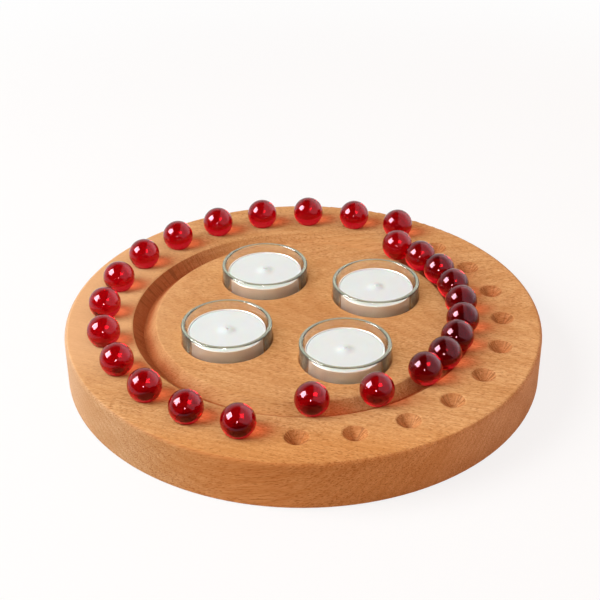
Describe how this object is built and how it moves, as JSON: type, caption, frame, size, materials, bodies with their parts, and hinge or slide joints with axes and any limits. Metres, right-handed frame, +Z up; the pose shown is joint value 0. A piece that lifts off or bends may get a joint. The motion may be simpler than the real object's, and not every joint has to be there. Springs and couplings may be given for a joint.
{
  "type": "advent candle holder",
  "caption": "Round wooden board with tealights in glass cups, and red glass marbles that move day by day between a ring of seats and a ring groove.",
  "frame": {"origin": "centre of the board's flat underside", "axes": "+Z up out of the board's top, +X along the grain to the right of the picture, -Y to the front of the picture"},
  "size_m": [0.24, 0.24, 0.0389],
  "materials": {
    "beech": "oiled solid beech, satin",
    "clear_glass": "clear pressed glass with a green edge tint",
    "red_glass": "clear ruby red glass, polished",
    "tray_aluminium": "bright pressed foil",
    "wax": "white paraffin wax, soft satin",
    "wick_cotton": "waxed white cotton",
    "clip_steel": "thin tinned steel"
  },
  "bodies": {
    "board": {"board": "beech"},
    "glass_cup_1": {"glass_cup_1": "clear_glass"},
    "tealight_1": {"tealight_tray_1": "tray_aluminium", "candle_wax_1": "wax", "wick_1": "wick_cotton", "wick_clip_1": "clip_steel"},
    "glass_cup_2": {"glass_cup_2": "clear_glass"},
    "tealight_2": {"tealight_tray_2": "tray_aluminium", "candle_wax_2": "wax", "wick_2": "wick_cotton", "wick_clip_2": "clip_steel"},
    "glass_cup_3": {"glass_cup_3": "clear_glass"},
    "tealight_3": {"tealight_tray_3": "tray_aluminium", "candle_wax_3": "wax", "wick_3": "wick_cotton", "wick_clip_3": "clip_steel"},
    "glass_cup_4": {"glass_cup_4": "clear_glass"},
    "tealight_4": {"tealight_tray_4": "tray_aluminium", "candle_wax_4": "wax", "wick_4": "wick_cotton", "wick_clip_4": "clip_steel"},
    "seat_marble_01": {"seat_marble_01": "red_glass"},
    "seat_marble_02": {"seat_marble_02": "red_glass"},
    "seat_marble_03": {"seat_marble_03": "red_glass"},
    "seat_marble_04": {"seat_marble_04": "red_glass"},
    "seat_marble_05": {"seat_marble_05": "red_glass"},
    "seat_marble_06": {"seat_marble_06": "red_glass"},
    "seat_marble_07": {"seat_marble_07": "red_glass"},
    "seat_marble_08": {"seat_marble_08": "red_glass"},
    "seat_marble_09": {"seat_marble_09": "red_glass"},
    "seat_marble_10": {"seat_marble_10": "red_glass"},
    "seat_marble_11": {"seat_marble_11": "red_glass"},
    "seat_marble_12": {"seat_marble_12": "red_glass"},
    "seat_marble_13": {"seat_marble_13": "red_glass"},
    "seat_marble_14": {"seat_marble_14": "red_glass"},
    "groove_marble_01": {"groove_marble_01": "red_glass"},
    "groove_marble_02": {"groove_marble_02": "red_glass"},
    "groove_marble_03": {"groove_marble_03": "red_glass"},
    "groove_marble_04": {"groove_marble_04": "red_glass"},
    "groove_marble_05": {"groove_marble_05": "red_glass"},
    "groove_marble_06": {"groove_marble_06": "red_glass"},
    "groove_marble_07": {"groove_marble_07": "red_glass"},
    "groove_marble_08": {"groove_marble_08": "red_glass"},
    "groove_marble_09": {"groove_marble_09": "red_glass"},
    "groove_marble_10": {"groove_marble_10": "red_glass"},
    "groove_marble_11": {"groove_marble_11": "red_glass"}
  },
  "joints": [
    {"name": "glass_cup_1_lift", "type": "slide", "parent": "board", "child": "glass_cup_1", "axis": [0, 0, 1], "range_m": [0, 0.03]},
    {"name": "tealight_1_lift", "type": "slide", "parent": "glass_cup_1", "child": "tealight_1", "axis": [0, 0, 1], "range_m": [0, 0.03]},
    {"name": "glass_cup_2_lift", "type": "slide", "parent": "board", "child": "glass_cup_2", "axis": [0, 0, 1], "range_m": [0, 0.03]},
    {"name": "tealight_2_lift", "type": "slide", "parent": "glass_cup_2", "child": "tealight_2", "axis": [0, 0, 1], "range_m": [0, 0.03]},
    {"name": "glass_cup_3_lift", "type": "slide", "parent": "board", "child": "glass_cup_3", "axis": [0, 0, 1], "range_m": [0, 0.03]},
    {"name": "tealight_3_lift", "type": "slide", "parent": "glass_cup_3", "child": "tealight_3", "axis": [0, 0, 1], "range_m": [0, 0.03]},
    {"name": "glass_cup_4_lift", "type": "slide", "parent": "board", "child": "glass_cup_4", "axis": [0, 0, 1], "range_m": [0, 0.03]},
    {"name": "tealight_4_lift", "type": "slide", "parent": "glass_cup_4", "child": "tealight_4", "axis": [0, 0, 1], "range_m": [0, 0.03]},
    {"name": "seat_marble_01_lift", "type": "slide", "parent": "board", "child": "seat_marble_01", "axis": [0, 0, 1], "range_m": [0, 0.03]},
    {"name": "seat_marble_02_lift", "type": "slide", "parent": "board", "child": "seat_marble_02", "axis": [0, 0, 1], "range_m": [0, 0.03]},
    {"name": "seat_marble_03_lift", "type": "slide", "parent": "board", "child": "seat_marble_03", "axis": [0, 0, 1], "range_m": [0, 0.03]},
    {"name": "seat_marble_04_lift", "type": "slide", "parent": "board", "child": "seat_marble_04", "axis": [0, 0, 1], "range_m": [0, 0.03]},
    {"name": "seat_marble_05_lift", "type": "slide", "parent": "board", "child": "seat_marble_05", "axis": [0, 0, 1], "range_m": [0, 0.03]},
    {"name": "seat_marble_06_lift", "type": "slide", "parent": "board", "child": "seat_marble_06", "axis": [0, 0, 1], "range_m": [0, 0.03]},
    {"name": "seat_marble_07_lift", "type": "slide", "parent": "board", "child": "seat_marble_07", "axis": [0, 0, 1], "range_m": [0, 0.03]},
    {"name": "seat_marble_08_lift", "type": "slide", "parent": "board", "child": "seat_marble_08", "axis": [0, 0, 1], "range_m": [0, 0.03]},
    {"name": "seat_marble_09_lift", "type": "slide", "parent": "board", "child": "seat_marble_09", "axis": [0, 0, 1], "range_m": [0, 0.03]},
    {"name": "seat_marble_10_lift", "type": "slide", "parent": "board", "child": "seat_marble_10", "axis": [0, 0, 1], "range_m": [0, 0.03]},
    {"name": "seat_marble_11_lift", "type": "slide", "parent": "board", "child": "seat_marble_11", "axis": [0, 0, 1], "range_m": [0, 0.03]},
    {"name": "seat_marble_12_lift", "type": "slide", "parent": "board", "child": "seat_marble_12", "axis": [0, 0, 1], "range_m": [0, 0.03]},
    {"name": "seat_marble_13_lift", "type": "slide", "parent": "board", "child": "seat_marble_13", "axis": [0, 0, 1], "range_m": [0, 0.03]},
    {"name": "seat_marble_14_lift", "type": "slide", "parent": "board", "child": "seat_marble_14", "axis": [0, 0, 1], "range_m": [0, 0.03]},
    {"name": "groove_marble_01_roll", "type": "hinge", "parent": "board", "child": "groove_marble_01", "pos_m": [0, 0, 0.025], "axis": [0, 0, 1], "range_deg": [-4, 100]},
    {"name": "groove_marble_02_roll", "type": "hinge", "parent": "board", "child": "groove_marble_02", "pos_m": [0, 0, 0.025], "axis": [0, 0, 1], "range_deg": [-4, 100]},
    {"name": "groove_marble_03_roll", "type": "hinge", "parent": "board", "child": "groove_marble_03", "pos_m": [0, 0, 0.025], "axis": [0, 0, 1], "range_deg": [-4, 100]},
    {"name": "groove_marble_04_roll", "type": "hinge", "parent": "board", "child": "groove_marble_04", "pos_m": [0, 0, 0.025], "axis": [0, 0, 1], "range_deg": [-4, 100]},
    {"name": "groove_marble_05_roll", "type": "hinge", "parent": "board", "child": "groove_marble_05", "pos_m": [0, 0, 0.025], "axis": [0, 0, 1], "range_deg": [-4, 100]},
    {"name": "groove_marble_06_roll", "type": "hinge", "parent": "board", "child": "groove_marble_06", "pos_m": [0, 0, 0.025], "axis": [0, 0, 1], "range_deg": [-4, 100]},
    {"name": "groove_marble_07_roll", "type": "hinge", "parent": "board", "child": "groove_marble_07", "pos_m": [0, 0, 0.025], "axis": [0, 0, 1], "range_deg": [-4, 100]},
    {"name": "groove_marble_08_roll", "type": "hinge", "parent": "board", "child": "groove_marble_08", "pos_m": [0, 0, 0.025], "axis": [0, 0, 1], "range_deg": [-4, 100]},
    {"name": "groove_marble_09_roll", "type": "hinge", "parent": "board", "child": "groove_marble_09", "pos_m": [0, 0, 0.025], "axis": [0, 0, 1], "range_deg": [-4, 100]},
    {"name": "groove_marble_10_roll", "type": "hinge", "parent": "board", "child": "groove_marble_10", "pos_m": [0, 0, 0.025], "axis": [0, 0, 1], "range_deg": [-5, 4]},
    {"name": "groove_marble_11_roll", "type": "hinge", "parent": "board", "child": "groove_marble_11", "pos_m": [0, 0, 0.025], "axis": [0, 0, 1], "range_deg": [-100, 5]}
  ],
  "couplings": [
    {"joint": "groove_marble_02_roll", "follows": "groove_marble_01_roll", "ratio": 1},
    {"joint": "groove_marble_03_roll", "follows": "groove_marble_01_roll", "ratio": 1},
    {"joint": "groove_marble_04_roll", "follows": "groove_marble_01_roll", "ratio": 1},
    {"joint": "groove_marble_05_roll", "follows": "groove_marble_01_roll", "ratio": 1},
    {"joint": "groove_marble_06_roll", "follows": "groove_marble_01_roll", "ratio": 1},
    {"joint": "groove_marble_07_roll", "follows": "groove_marble_01_roll", "ratio": 1},
    {"joint": "groove_marble_08_roll", "follows": "groove_marble_01_roll", "ratio": 1},
    {"joint": "groove_marble_09_roll", "follows": "groove_marble_01_roll", "ratio": 1}
  ]
}
